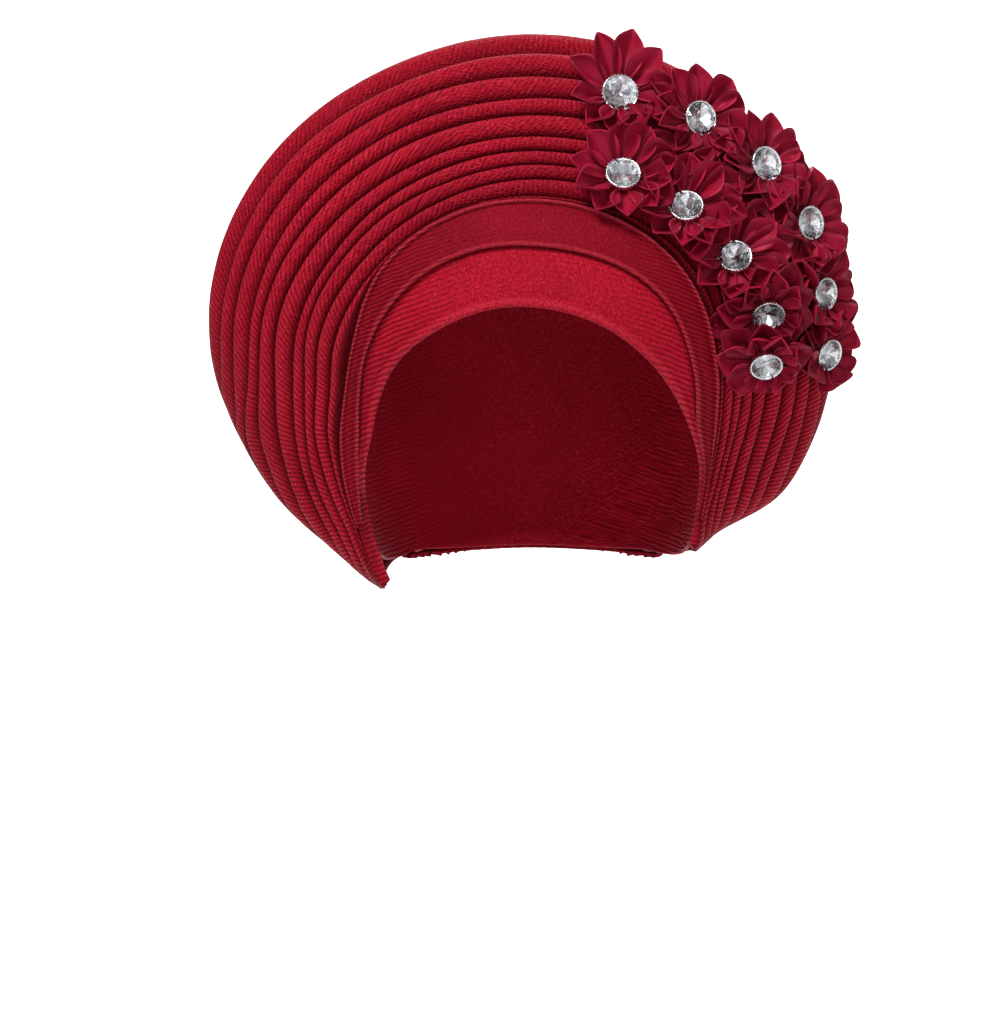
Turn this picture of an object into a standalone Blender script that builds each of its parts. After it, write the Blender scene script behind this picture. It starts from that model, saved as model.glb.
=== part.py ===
"""Tied head tie (gele): a pleated cloth fan on a close cap, with two rows of ribbon flowers.

+X is the right as seen from the front, +Y runs to the back, +Z is up.
The origin is the inside top of the cap, which carries the piece when it is worn.
Angles of the sections are counted from +X towards +Z, about the centre of the front opening.
"""
import math

import bpy
import bmesh
import numpy as np
from mathutils import Matrix, Vector
from mathutils.bvhtree import BVHTree

# Close cap
CLOTH = 0.0016
GAP = 0.0003
CAP_HALF_WIDTH = 0.0725
CAP_HALF_DEPTH = 0.095
CAP_CROWN = 0.102
CAP_LOWER = 0.100
CAP_FULLNESS = 2.3
NAPE_DROP = 0.047
NAPE_HALF_ANGLE = 46.0

# Bands round the opening
OPENING_SHIFT = 0.0035
ARCH_RADIUS = 0.070
BAND_STANDOFF = 0.0022
BAND_LEAN = 0.45
BAND_ROLL = 0.0016
BAND_CLEARANCE = 0.02

# Pleated fan
FAN_WIDTH = 0.073
RIM_DEPTH = 0.052
FOLD_RELIEF = 0.52
DEEP_FOLD = 6
DEEP_SHARE = 1.7
BACK_DEPTH = 0.055
BACK_HEIGHT = 0.105
BACK_WIDTH = 0.048
GATHER_DEPTH = 0.0012

# Flowers and stones
FLOWER_DIAMETER = 0.041
PETALS = 8
PETAL_CLOTH = 0.0012
CUP_HEIGHT = 0.0058
SETTING_DIAMETER = 0.0160
SETTING_HEIGHT = 0.0042
STONE_DIAMETER = 0.0136
STONE_CROWN = 0.0022
STONE_PAVILION = 0.0026
ROUND_SIDES = 12

STATIONS = 28
BACK_ROWS = 8

# One row for each section. angle: degrees. brow, low and top: the brow edge and the upper
# band's two edges, as shares of ARCH_RADIUS. front: what shows of the fan from the front,
# and e0 to e9: the fold edges from the outermost to the innermost, as shares of FAN_WIDTH
# measured from the upper band's top edge. An edge past front lies behind the outline.
SECTION_COLUMNS = ("angle", "brow", "low", "top", "ahead", "front",
                   "e0", "e1", "e2", "e3", "e4", "e5", "e6", "e7", "e8", "e9")
SECTIONS = (
    (-38, 1.14, 1.15, 1.16, 0.27, 0.02, 0.44, 0.38, 0.33, 0.29, 0.24, 0.20, 0.15, 0.11, 0.07, 0.035),
    (-30, 1.06, 1.07, 1.08, 0.32, 0.14, 0.48, 0.41, 0.36, 0.31, 0.26, 0.21, 0.15, 0.11, 0.07, 0.035),
    (-15, 0.97, 1.00, 1.03, 0.42, 0.42, 0.60, 0.51, 0.43, 0.34, 0.28, 0.21, 0.14, 0.10, 0.07, 0.035),
    (0, 0.87, 0.92, 1.03, 0.56, 0.59, 0.70, 0.60, 0.52, 0.44, 0.36, 0.27, 0.20, 0.14, 0.10, 0.05),
    (20, 0.78, 0.95, 1.10, 0.68, 0.74, 0.78, 0.68, 0.60, 0.52, 0.44, 0.33, 0.24, 0.18, 0.12, 0.06),
    (45, 0.71, 1.03, 1.23, 0.75, 0.89, 0.91, 0.80, 0.70, 0.60, 0.51, 0.40, 0.31, 0.24, 0.16, 0.08),
    (90, 0.70, 1.06, 1.34, 0.80, 1.00, 1.03, 0.90, 0.78, 0.65, 0.55, 0.43, 0.32, 0.24, 0.16, 0.065),
    (135, 0.83, 1.14, 1.33, 0.74, 0.94, 0.97, 0.85, 0.74, 0.62, 0.53, 0.42, 0.31, 0.24, 0.145, 0.055),
    (158, 0.94, 1.12, 1.21, 0.64, 0.88, 0.92, 0.82, 0.74, 0.64, 0.57, 0.48, 0.37, 0.30, 0.22, 0.13),
    (170, 0.97, 1.09, 1.18, 0.56, 0.76, 0.84, 0.74, 0.68, 0.59, 0.53, 0.43, 0.33, 0.26, 0.19, 0.11),
    (182, 1.00, 1.08, 1.19, 0.50, 0.56, 0.76, 0.64, 0.58, 0.52, 0.47, 0.38, 0.28, 0.22, 0.17, 0.10),
    (195, 1.08, 1.12, 1.21, 0.42, 0.40, 0.68, 0.57, 0.51, 0.45, 0.39, 0.32, 0.24, 0.19, 0.12, 0.06),
    (208, 1.17, 1.20, 1.24, 0.34, 0.21, 0.58, 0.50, 0.44, 0.38, 0.32, 0.25, 0.17, 0.12, 0.08, 0.04),
    (225, 1.31, 1.32, 1.33, 0.27, 0.02, 0.44, 0.38, 0.33, 0.29, 0.24, 0.20, 0.15, 0.11, 0.07, 0.035),
)
BAND_FIRST, BAND_LAST = -24.0, 207.0

# How the upper band lies from its low edge to its top edge. across: share of its width.
# proud: share of BAND_ROLL that it stands forward.
BAND_COLUMNS = ("across", "proud")
BAND_PROFILE = (
    (0.0, 0.0),
    (0.12, 0.6),
    (0.5, 0.8),
    (0.88, 0.6),
    (1.0, 0.0),
)

# One row for each flower: the section angle of its stone, its distance from the upper band's
# top edge as a share of FAN_WIDTH, and how far it is turned aside, tipped up and spun round
# its own axis, in degrees.
FLOWER_COLUMNS = ("angle", "reach", "turn", "tip", "spin")
FLOWERS = (
    (77.0, 0.67, 10, 22, 4),
    (63.1, 0.72, 26, 22, 14),
    (50.0, 0.75, 34, 20, 0),
    (37.8, 0.755, 42, 12, 10),
    (25.8, 0.68, 52, 6, 22),
    (14.9, 0.635, 50, -4, 6),
    (72.2, 0.225, 8, 24, 20),
    (56.9, 0.255, 12, 22, 8),
    (41.8, 0.28, 18, 14, 0),
    (27.1, 0.34, 16, -22, 12),
    (16.6, 0.275, 10, -32, 2),
)


def section_at(angle):
    """Give a section's columns at any angle, on a smooth curve through the table's rows."""
    table = np.array(SECTIONS)
    xs = table[:, 0]
    i = int(np.clip(np.searchsorted(xs, angle) - 1, 0, len(xs) - 2))
    slopes = np.gradient(table, xs, axis=0)
    width = xs[i + 1] - xs[i]
    t = (angle - xs[i]) / width
    row = ((2 * t**3 - 3 * t**2 + 1) * table[i] + (t**3 - 2 * t**2 + t) * width * slopes[i]
           + (-2 * t**3 + 3 * t**2) * table[i + 1] + (t**3 - t**2) * width * slopes[i + 1])
    return {name: float(value) for name, value in zip(SECTION_COLUMNS, row)}


def cap_centre():
    """The middle of the cap at its widest level."""
    return Vector((0, 0, -(CAP_CROWN - CLOTH)))


def opening_centre():
    """The point that the sections turn about."""
    return cap_centre() + Vector((OPENING_SHIFT, 0, 0))


def polar(angle, radius, depth):
    """A point at an angle and radius about the opening's centre, depth counted to the back."""
    a = math.radians(angle)
    return opening_centre() + Vector((radius * math.cos(a), depth, radius * math.sin(a)))


def cap_height(up):
    """The cap's upright half size, above or below its widest level."""
    return CAP_CROWN if up >= 0 else CAP_LOWER


def cap_level(x, y, z):
    """1 on the cap's outer face, less inside it; x, y and z are shares of its half sizes."""
    n = CAP_FULLNESS
    return (abs(x) ** n + abs(y) ** n + abs(z) ** n) ** (1 / n)


def cap_point(way, out=0.0):
    """The point of the cap's outer face in a direction, moved out by a distance."""
    level = cap_level(*way)
    point = Vector((way[0] * CAP_HALF_WIDTH, way[1] * CAP_HALF_DEPTH,
                    way[2] * cap_height(way[2]))) / level
    return cap_centre() + point * (1 + out / point.length)


def clear_of_cap(point, room):
    """Move a point out until it lies clear of the cap's outer face by a distance."""
    arm = point - cap_centre()
    level = cap_level(arm.x / CAP_HALF_WIDTH, arm.y / CAP_HALF_DEPTH, arm.z / cap_height(arm.z))
    least = 1 + room / (arm.length / level)
    return point if level >= least else cap_centre() + arm * (least / level)


def cap_edge(angle, radius):
    """The direction on the front of the cap that shows at an angle and radius."""
    a = math.radians(angle)
    n = CAP_FULLNESS
    x = (radius * math.cos(a) + OPENING_SHIFT) / CAP_HALF_WIDTH
    z = radius * math.sin(a) / cap_height(math.sin(a))
    size = cap_level(x, 0, z)
    if size > 0.985:
        x, z = x * 0.985 / size, z * 0.985 / size
    return Vector((x, -(1 - cap_level(x, 0, z) ** n) ** (1 / n), z))


def nape_direction(share):
    """The direction of a point of the nape hem; share runs from 0 at +X to 1 at -X."""
    low = -NAPE_DROP / CAP_LOWER
    a = math.radians(90 + NAPE_HALF_ANGLE * (2 * share - 1))
    flat = math.sqrt(1 - low * low)
    return Vector((math.cos(a) * flat, math.sin(a) * flat, low))


def side_direction(share, first_drop, last_drop):
    """The direction where a section passes the side of the cap."""
    first = -math.degrees(math.asin(first_drop / CAP_LOWER))
    last = 180 + math.degrees(math.asin(last_drop / CAP_LOWER))
    a = math.radians(first + (last - first) * share)
    return Vector((math.cos(a), 0, math.sin(a)))


def cubic(points, t):
    """A point of a cubic curve with four control points."""
    a, b, c, d = points
    s = 1 - t
    return s * s * s * a + 3 * s * s * t * b + 3 * s * t * t * c + t * t * t * d


def material(name, colour, roughness, metallic=0.0, alpha=1.0):
    """A material with one plain colour."""
    made = bpy.data.materials.new(name)
    made.use_nodes = True
    shader = made.node_tree.nodes["Principled BSDF"]
    shader.inputs["Base Color"].default_value = (*colour, 1)
    shader.inputs["Roughness"].default_value = roughness
    shader.inputs["Metallic"].default_value = metallic
    shader.inputs["Alpha"].default_value = alpha
    return made


def loft(name, columns, collection, surface, thickness):
    """Skin a grid of points, a list of columns, and thicken it inwards."""
    mesh = bpy.data.meshes.new(name)
    bm = bmesh.new()
    grid = [[bm.verts.new(p) for p in column] for column in columns]
    for left, right in zip(grid, grid[1:]):
        for i in range(len(left) - 1):
            bm.faces.new((left[i], left[i + 1], right[i + 1], right[i]))
    bm.to_mesh(mesh)
    bm.free()
    obj = bpy.data.objects.new(name, mesh)
    collection.objects.link(obj)
    mesh.materials.append(surface)
    mesh.shade_smooth()
    shell = obj.modifiers.new("Cloth", "SOLIDIFY")
    shell.thickness = thickness
    shell.offset = -1
    return obj


def stations(first, last, count):
    """Angles of the sections, evenly spaced."""
    return [first + (last - first) * i / (count - 1) for i in range(count)]


def slerp(a, b, t):
    """A direction part of the way from one direction to another."""
    turn = math.acos(max(-1, min(1, a.dot(b))))
    if turn < 1e-6:
        return a.copy()
    return (a * math.sin((1 - t) * turn) + b * math.sin(t * turn)) / math.sin(turn)


def build_cap(collection, surface):
    """The close cap whose front edge is the brow band."""
    columns = []
    first, last = SECTIONS[0][0], SECTIONS[-1][0]
    for angle in stations(first, last, 25):
        share = (angle - first) / (last - first)
        start = cap_edge(angle, section_at(angle)["brow"] * ARCH_RADIUS)
        side = side_direction(share, NAPE_DROP, NAPE_DROP * 1.08)
        end = nape_direction(share)
        path = [slerp(start, side, t / 4) for t in range(4)]
        path += [slerp(side, end, t / 4) for t in range(5)]
        columns.append([cap_point(p) for p in path])
    return loft("base_cap", columns, collection, surface, CLOTH)


def band_edges(angle):
    """The upper band's low and top edges at an angle."""
    row = section_at(angle)
    low = row["low"] * ARCH_RADIUS
    top = row["top"] * ARCH_RADIUS
    ahead = max(row["ahead"], BAND_CLEARANCE - cap_edge(angle, low).y)
    front = -ahead * CAP_HALF_DEPTH - BAND_STANDOFF
    return low, top, front, front + BAND_LEAN * (top - low)


def build_band(collection, surface):
    """The crescent band, its lower edge and its middle standing a little proud."""
    columns = []
    for angle in stations(BAND_FIRST, BAND_LAST, 25):
        low, top, low_y, top_y = band_edges(angle)
        width = top - low
        roll = BAND_ROLL * min(1.0, max(0.0, width / (4 * BAND_ROLL) - 0.5))
        columns.append([polar(angle, low + width * across,
                              low_y + (top_y - low_y) * across - roll * proud)
                        for across, proud in BAND_PROFILE])
    return loft("upper_band", columns, collection, surface, CLOTH)


def fan_curve(angle, share):
    """The fan's outline at a section: a function of the distance from the band's top edge."""
    row = section_at(angle)
    low, top, low_y, top_y = band_edges(angle)
    front = max(row["front"], 0.02) * FAN_WIDTH
    start_y = top_y + CLOTH + GAP * 2
    rim_y = start_y + RIM_DEPTH * min(1.0, 0.25 + row["front"])
    a = math.radians(angle)
    outward = Vector((math.cos(a), 0, math.sin(a)))
    start = polar(angle, top, start_y)
    rim = polar(angle, top + front, rim_y)
    deep = rim_y - start_y
    lead = (start, start + outward * front * 0.45 + Vector((0, deep * 0.22, 0)),
            rim + Vector((0, -deep * 0.42, 0)), rim)
    high = max(0.0, math.sin(a))
    hem = cap_point(nape_direction(share), CLOTH + GAP * 6)
    swell = Vector((BACK_WIDTH * math.cos(a) * (0.4 + 0.6 * row["front"]),
                    BACK_DEPTH * (0.3 + 0.7 * high), BACK_HEIGHT * high))
    back = (hem - rim).length * 1.25
    trail = (rim, rim + Vector((0, back * 0.3, 0)), hem + swell, hem)

    def at(distance):
        if distance <= front:
            return cubic(lead, distance / front)
        return cubic(trail, (distance - front) / back)

    return at, row, front + back


def build_fan(collection, surface):
    """The crown: nine folds round the opening, then the plain back gathered to the nape."""
    first, last = SECTIONS[0][0], SECTIONS[-1][0]
    step = FAN_WIDTH * 0.004
    columns = []
    for i, angle in enumerate(stations(first, last, STATIONS)):
        share = (angle - first) / (last - first)
        at, row, full = fan_curve(angle, share)
        edges = [0.0] + [row["e%d" % k] * FAN_WIDTH for k in range(9, -1, -1)]
        a = math.radians(angle)
        around = Vector((-math.sin(a), 0, math.cos(a)))

        def place(distance, sink):
            """A point sunk below the fan's outline at a distance along the section."""
            along = at(distance + step) - at(max(distance - step, 0))
            out = along.cross(around).normalized()
            return clear_of_cap(at(distance) - out * sink, CLOTH + GAP * 4)

        points = [cap_point(cap_edge(angle, row["top"] * ARCH_RADIUS), CLOTH * 0.4 + GAP * 2),
                  place(0.0, 0.0)]
        for k, (inner, outer) in enumerate(zip(edges, edges[1:])):
            width = outer - inner
            sink = FOLD_RELIEF * width
            if k:
                deep = DEEP_SHARE if 10 - k == DEEP_FOLD else 1.0
                points.append(place(inner + width * 0.06, sink * deep))
            points.append(place(inner + width * 0.45, sink * 0.28))
            points.append(place(inner + width * 0.84, 0))
            points.append(place(inner + width * 0.99, sink * 0.4))
        begin = edges[-1] + FAN_WIDTH * 0.04
        for j in range(BACK_ROWS):
            t = j / (BACK_ROWS - 1)
            gather = GATHER_DEPTH * (1 if i % 2 else -1) * t
            points.append(place(begin + (full - begin) * t, gather + GATHER_DEPTH))
        columns.append(points)
    return loft("pleated_fan", columns, collection, surface, CLOTH)


def turned(name, profile, collection, surface):
    """A turned piece: a profile in radius and height, swept round."""
    mesh = bpy.data.meshes.new(name)
    closed = profile[0] == profile[-1]
    points = profile[:-1] if closed else profile
    edges = [(i, i + 1) for i in range(len(points) - 1)]
    if closed:
        edges.append((len(points) - 1, 0))
    mesh.from_pydata([(r, 0, z) for r, z in points], edges, [])
    obj = bpy.data.objects.new(name, mesh)
    collection.objects.link(obj)
    mesh.materials.append(surface)
    sweep = obj.modifiers.new("Turn", "SCREW")
    sweep.steps = ROUND_SIDES
    sweep.render_steps = ROUND_SIDES
    sweep.use_merge_vertices = True
    sweep.merge_threshold = 0.00005
    sweep.use_smooth_shade = False
    return obj


def rosette(name, reach, collection, surface):
    """A ribbon flower on its own axis +Z: cupped petals round a flat middle."""
    mesh = bpy.data.meshes.new(name)
    bm = bmesh.new()
    count = PETALS * 2
    middle = SETTING_DIAMETER / 2
    radius = FLOWER_DIAMETER / 2
    rings = []
    for part in (0.0, 0.5, 1.0):
        ring = []
        for i in range(count):
            turn = 2 * math.pi * i / count
            far = reach(turn)
            tip = i % 2 == 0
            full = far if tip else min(far, radius * 0.76)
            full = max(full, middle * 1.12)
            r = middle + (full - middle) * part
            lift = CUP_HEIGHT * (0.10 + 0.9 * part ** 1.3) * (1.0 if tip else 0.45)
            if part == 0.0:
                lift = CUP_HEIGHT * 0.02
            ring.append(bm.verts.new((r * math.cos(turn), r * math.sin(turn), lift)))
        rings.append(ring)
    hub = bm.verts.new((0, 0, 0))
    for i in range(count):
        j = (i + 1) % count
        bm.faces.new((hub, rings[0][i], rings[0][j]))
        for inner, outer in zip(rings, rings[1:]):
            bm.faces.new((inner[i], outer[i], outer[j], inner[j]))
    bm.to_mesh(mesh)
    bm.free()
    obj = bpy.data.objects.new(name, mesh)
    collection.objects.link(obj)
    mesh.materials.append(surface)
    mesh.shade_smooth()
    shell = obj.modifiers.new("Ribbon", "SOLIDIFY")
    shell.thickness = PETAL_CLOTH
    shell.offset = -1
    return obj


def flower_frame(row, depth):
    """Where a flower's middle stands and how it faces."""
    top = section_at(row["angle"])["top"] * ARCH_RADIUS
    middle = polar(row["angle"], top + row["reach"] * FAN_WIDTH, depth)
    turn = Matrix.Rotation(math.radians(row["turn"]), 4, "Z")
    tip = Matrix.Rotation(math.radians(-row["tip"]), 4, "X")
    face = Matrix.Rotation(math.radians(90), 4, "X")
    spin = Matrix.Rotation(math.radians(row["spin"]), 4, "Z")
    return Matrix.Translation(middle) @ turn @ tip @ face @ spin


def surface_points(obj, frame):
    """Corners, edge middles and face middles of an object's finished surface."""
    graph = bpy.context.evaluated_depsgraph_get()
    shape = obj.evaluated_get(graph)
    mesh = shape.to_mesh()
    corners = [frame @ v.co for v in mesh.vertices]
    points = list(corners)
    points += [(corners[e.vertices[0]] + corners[e.vertices[1]]) / 2 for e in mesh.edges]
    points += [frame @ p.center for p in mesh.polygons]
    shape.to_mesh_clear()
    return points


def tree_of(obj, frame):
    """A search tree of an object's finished surface, placed by a frame."""
    graph = bpy.context.evaluated_depsgraph_get()
    shape = obj.evaluated_get(graph)
    mesh = shape.to_mesh()
    corners = [frame @ v.co for v in mesh.vertices]
    faces = [list(p.vertices) for p in mesh.polygons]
    shape.to_mesh_clear()
    return BVHTree.FromPolygons(corners, faces)


def room_behind(tree, points, way):
    """The least distance from some points to a surface in one direction."""
    found = [tree.ray_cast(p, way)[3] for p in points]
    return min([d for d in found if d is not None], default=0.0)


def build_flowers(collection, fan, satin, silver, glass):
    """Flowers with a stone in a setting on each, laid on the folds."""
    back = Vector((0, 1, 0))
    still = Matrix.Identity(4)
    tree = tree_of(fan, still)
    cloth = surface_points(fan, still)
    rows = [dict(zip(FLOWER_COLUMNS, row)) for row in FLOWERS]
    radius = FLOWER_DIAMETER / 2
    ahead = -3 * CAP_HALF_DEPTH
    frames = []
    for row in rows:
        frame = flower_frame(row, ahead)
        hub = [frame @ Vector((radius * share * math.cos(a), radius * share * math.sin(a), 0))
               for share in (0.0, 0.5) for a in np.linspace(0, 2 * math.pi, 24)]
        frames.append(flower_frame(row, ahead + room_behind(tree, hub, back)))
    for number, (row, frame) in enumerate(zip(rows, frames), 1):
        others = [f.translation - frame.translation for f in frames if f is not frame]

        def reach(turn):
            """How far a petal goes before it would meet the next flower."""
            way = frame.to_3x3() @ Vector((math.cos(turn), math.sin(turn), 0))
            limit = radius
            for arm in others:
                toward = way.dot(arm.normalized())
                if toward > 0.05:
                    limit = min(limit, (arm.length / 2 - GAP * 3) / toward)
            return limit

        flower = rosette("flower_%02d" % number, reach, collection, satin)
        bpy.context.view_layer.update()
        start = flower_frame(row, ahead)
        near = [p for p in cloth if (p - frame.translation).length < FLOWER_DIAMETER]
        room = min(room_behind(tree, surface_points(flower, start), back),
                   room_behind(tree_of(flower, start), near, -back))
        settled = flower_frame(row, ahead + room - GAP * 1.5)
        flower.matrix_world = settled
        build_stone(number, settled, collection, silver, glass)


def build_stone(number, frame, collection, silver, glass):
    """A rim setting on a flower's flat middle, and the cut stone in it."""
    outer = SETTING_DIAMETER / 2
    girdle = STONE_DIAMETER / 2
    ledge = SETTING_HEIGHT * 0.62
    rest = ledge + GAP * 2
    setting = turned("setting_%02d" % number, (
        (girdle + GAP * 2, SETTING_HEIGHT),
        (outer, SETTING_HEIGHT * 0.72),
        (outer * 0.92, GAP),
        (girdle * 0.70, GAP),
        (girdle + GAP, ledge),
        (girdle + GAP * 2, SETTING_HEIGHT),
    ), collection, silver)
    setting.matrix_world = frame
    stone = turned("stone_%02d" % number, (
        (0.0, rest + STONE_CROWN),
        (girdle * 0.62, rest + STONE_CROWN),
        (girdle, rest + GAP),
        (girdle * 0.98, rest),
        (0.0, rest - STONE_PAVILION),
    ), collection, glass)
    stone.matrix_world = frame


def main():
    for old in list(bpy.data.objects):
        bpy.data.objects.remove(old, do_unlink=True)
    collection = bpy.data.collections.new("gele_head_tie")
    bpy.context.scene.collection.children.link(collection)
    head_cloth = material("head_cloth", (0.36, 0.012, 0.035), 0.45)
    band_cloth = material("band_cloth", (0.30, 0.010, 0.028), 0.42)
    satin = material("petal_satin", (0.26, 0.008, 0.030), 0.35)
    silver = material("silver_rim", (0.80, 0.80, 0.82), 0.15, 1.0)
    glass = material("clear_stone", (0.95, 0.96, 0.98), 0.03, 0.0, 0.4)
    build_cap(collection, band_cloth)
    build_band(collection, band_cloth)
    fan = build_fan(collection, head_cloth)
    bpy.context.view_layer.update()
    build_flowers(collection, fan, satin, silver, glass)


main()
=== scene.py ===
"""Looks of a tied gele head tie: pleated woven cloth, ribbon flowers and cut stones, in metres."""
import math
import random

import bpy
import bmesh
import numpy as np
from bpy.props import FloatProperty, FloatVectorProperty, PointerProperty
from bpy.types import Operator, Panel, PropertyGroup
from mathutils import Matrix, Vector


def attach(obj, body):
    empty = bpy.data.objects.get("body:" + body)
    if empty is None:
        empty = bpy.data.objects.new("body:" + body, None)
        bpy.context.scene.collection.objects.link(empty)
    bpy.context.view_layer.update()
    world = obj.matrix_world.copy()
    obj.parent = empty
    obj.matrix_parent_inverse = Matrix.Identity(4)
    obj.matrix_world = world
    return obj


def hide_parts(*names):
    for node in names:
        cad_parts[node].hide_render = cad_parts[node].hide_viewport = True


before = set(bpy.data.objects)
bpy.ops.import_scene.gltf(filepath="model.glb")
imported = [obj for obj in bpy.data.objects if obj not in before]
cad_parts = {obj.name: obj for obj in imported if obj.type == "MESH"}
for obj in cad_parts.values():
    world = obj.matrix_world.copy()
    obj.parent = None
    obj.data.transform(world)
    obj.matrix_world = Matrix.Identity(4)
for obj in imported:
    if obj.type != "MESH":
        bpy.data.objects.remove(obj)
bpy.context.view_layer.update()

bl_info = {
    "name": "Gele Head Tie",
    "version": (1, 0, 0),
    "blender": (4, 5, 0),
    "location": "View3D > Sidebar > Gele",
    "description": "Builds the cloth, flowers, stones and studio of a tied gele head tie",
    "category": "Object",
}

# One row for each section, at an angle in degrees counted from +X towards +Z. brow, low and top
# (the brow edge and the upper band's two edges) are shares of the arch radius, ahead (how far
# forward the band lies) of the cap's half depth, front (the outline) and e0 to e9 (the folds'
# outer edges, from the outermost inwards) of the fan's width.
SECTION_COLUMNS = ("angle", "brow", "low", "top", "ahead", "front",
                   "e0", "e1", "e2", "e3", "e4", "e5", "e6", "e7", "e8", "e9")
SECTIONS = (
    (-38, 1.14, 1.15, 1.16, 0.27, 0.02,
     0.44, 0.38, 0.33, 0.29, 0.24, 0.20, 0.15, 0.11, 0.07, 0.035),
    (-30, 1.06, 1.07, 1.08, 0.32, 0.14,
     0.48, 0.41, 0.36, 0.31, 0.26, 0.21, 0.15, 0.11, 0.07, 0.035),
    (-15, 0.97, 1.00, 1.03, 0.42, 0.44,
     0.60, 0.51, 0.43, 0.34, 0.28, 0.21, 0.14, 0.10, 0.07, 0.035),
    (0, 0.87, 0.92, 1.03, 0.56, 0.60,
     0.70, 0.60, 0.52, 0.44, 0.36, 0.27, 0.20, 0.14, 0.10, 0.05),
    (20, 0.78, 0.95, 1.10, 0.68, 0.74,
     0.78, 0.68, 0.60, 0.52, 0.44, 0.33, 0.24, 0.18, 0.12, 0.06),
    (45, 0.71, 1.03, 1.23, 0.75, 0.89,
     0.91, 0.80, 0.70, 0.60, 0.51, 0.40, 0.31, 0.24, 0.16, 0.08),
    (90, 0.70, 1.06, 1.34, 0.80, 0.985,
     1.01, 0.875, 0.74, 0.613, 0.515, 0.39, 0.307, 0.226, 0.143, 0.045),
    (112, 0.75, 1.11, 1.36, 0.79, 0.955,
     0.98, 0.845, 0.727, 0.597, 0.495, 0.377, 0.285, 0.207, 0.12, 0.037),
    (135, 0.83, 1.14, 1.33, 0.74, 0.935,
     0.965, 0.838, 0.73, 0.606, 0.515, 0.40, 0.293, 0.23, 0.135, 0.049),
    (158, 0.94, 1.12, 1.21, 0.64, 0.895,
     0.93, 0.82, 0.74, 0.64, 0.57, 0.48, 0.36, 0.30, 0.22, 0.13),
    (170, 0.97, 1.09, 1.18, 0.56, 0.78,
     0.85, 0.75, 0.68, 0.59, 0.53, 0.43, 0.325, 0.26, 0.19, 0.11),
    (182, 1.00, 1.08, 1.19, 0.50, 0.587,
     0.76, 0.66, 0.61, 0.57, 0.49, 0.38, 0.28, 0.22, 0.17, 0.10),
    (195, 1.08, 1.12, 1.21, 0.42, 0.40,
     0.68, 0.57, 0.51, 0.45, 0.39, 0.32, 0.24, 0.19, 0.12, 0.06),
    (208, 1.17, 1.20, 1.24, 0.34, 0.21,
     0.58, 0.50, 0.44, 0.38, 0.32, 0.25, 0.17, 0.12, 0.08, 0.04),
    (225, 1.31, 1.32, 1.33, 0.27, 0.02,
     0.44, 0.38, 0.33, 0.29, 0.24, 0.20, 0.15, 0.11, 0.07, 0.035),
)

# How one fold lies from its inner crease to its outer edge. Each row: share of its width, share
# of its depth below the crest, how much of the painted highlight on the folded edge shows, and
# how much painted shade it gets between two folds.
FOLD = (
    (0.03, 1.00, 0.0, 1.0),
    (0.07, 0.82, 0.0, 0.9),
    (0.13, 0.60, 0.0, 0.84),
    (0.22, 0.38, 0.0, 0.56),
    (0.34, 0.20, 0.0, 0.24),
    (0.50, 0.07, 0.1, 0.0),
    (0.64, 0.01, 0.3, 0.0),
    (0.76, 0.01, 0.6, 0.0),
    (0.86, 0.09, 0.9, 0.0),
    (0.93, 0.22, 1.0, 0.0),
    (0.98, 0.40, 0.5, 0.45),
    (1.0, 0.60, 0.1, 0.95),
    (0.99, 0.84, 0.0, 1.0),
)
# The rows of FOLD that can hide the next crease from the front.
CREST_ROWS = slice(4, 11)
# Strips of cloth up to the edges e9 to e0: a narrow one at the opening, and nine folds.
FOLDS = 10
# The strip, counted from 0 at the opening, that lies deeper than the rest, and how much deeper
# its inner side is.
DEEP_FOLD, DEEPER = 4, 1.7
# A strip's depth as a share of its width.
FOLD_DEPTH = 0.70

# How far inside the table's edge a fold's outermost point is aimed, and how often each fold's
# edge is moved to bring it there.
CREASE_SEEN, FIT_PASSES = 0.0019, 14
# Half the width of the shade that the next fold casts beside a crease.
SHADE_REACH = 0.0024

# Room between the crown and the cap's wall: where the folds start, elsewhere, and at the hem.
START_ROOM, CROWN_ROOM, HEM_ROOM = 0.0006, 0.0010, 0.0018

# The crown's columns round the opening, and its rows behind the outline. The gathers are the
# small pleats in which those rows run to the nape.
CROWN_COLUMNS, BACK_ROWS, GATHERS = 230, 44, 27

# The brow band's rolled edge. Each row: distance from the edge and height of the roll, both as
# shares of ROLL_WIDTH, and how much of the painted highlight on the edge shows.
ROLL = (
    (0.0, -0.20, 0.0),
    (0.10, 0.0, 0.4),
    (0.26, 0.11, 0.9),
    (0.46, 0.15, 0.9),
    (0.66, 0.09, 0.6),
    (0.82, -0.02, 0.1),
    (0.92, -0.05, 0.0),
    (1.06, 0.0, 0.0),
)
ROLL_WIDTH = 0.0050
# The cap's columns, and the rows of its brow, its hidden front and its crown.
CAP_COLUMNS, BROW_ROWS, FRONT_ROWS, CROWN_ROWS = 200, 12, 20, 30
# How far the cap runs on under the upper band.
CAP_TUCK = 0.0040
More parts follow.
